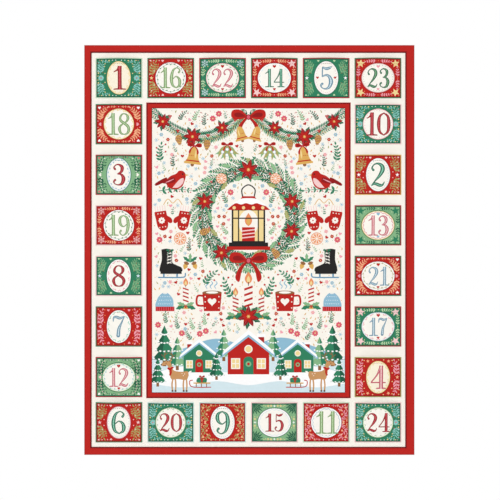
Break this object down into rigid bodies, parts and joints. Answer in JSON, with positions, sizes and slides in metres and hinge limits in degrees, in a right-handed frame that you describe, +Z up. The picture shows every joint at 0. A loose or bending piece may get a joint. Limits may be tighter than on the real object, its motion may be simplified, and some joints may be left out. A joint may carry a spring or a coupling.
{
  "type": "fabric advent calendar",
  "caption": "Quilted cotton wall hanging with a bound edge, a printed middle picture and a border of numbered patch pockets, hung by a wooden rod in a sleeve at the back.",
  "frame": {"origin": "middle of the hanging rod, on its axis", "axes": "+Z up along the calendar's height, +X to the right as seen from the front, +Y backwards to the wall"},
  "size_m": [0.59, 0.0299, 0.7323],
  "materials": {
    "printed_cotton": "plain woven cotton with a printed picture on a cream ground",
    "red_binding": "plain woven red cotton, folded",
    "red_pocket": "printed cotton with a red ground",
    "green_pocket": "printed cotton with a green ground",
    "sage_pocket": "printed cotton with a pale green ground",
    "wadding": "soft cotton wadding",
    "calico": "unbleached plain woven cotton",
    "wood": "sanded plain hardwood dowel"
  },
  "bodies": {
    "calendar": {"front_panel": "printed_cotton", "wadding": "wadding", "backing_cloth": "calico", "binding_left": "red_binding", "binding_right": "red_binding", "binding_top": "red_binding", "binding_bottom": "red_binding", "pocket_01": "green_pocket", "pocket_02": "red_pocket", "pocket_03": "sage_pocket", "pocket_04": "red_pocket", "pocket_05": "green_pocket", "pocket_06": "red_pocket", "pocket_07": "red_pocket", "pocket_08": "green_pocket", "pocket_09": "red_pocket", "pocket_10": "green_pocket", "pocket_11": "red_pocket", "pocket_12": "sage_pocket", "pocket_13": "sage_pocket", "pocket_14": "red_pocket", "pocket_15": "sage_pocket", "pocket_16": "red_pocket", "pocket_17": "green_pocket", "pocket_18": "red_pocket", "pocket_19": "red_pocket", "pocket_20": "green_pocket", "pocket_21": "red_pocket", "pocket_22": "green_pocket", "pocket_23": "red_pocket", "pocket_24": "green_pocket", "hanging_sleeve": "calico"},
    "rod": {"hanging_rod": "wood"}
  },
  "joints": [
    {"name": "rod_slide", "type": "slide", "parent": "calendar", "child": "rod", "axis": [1, 0, 0], "range_m": [-0.5, 0.5]}
  ]
}
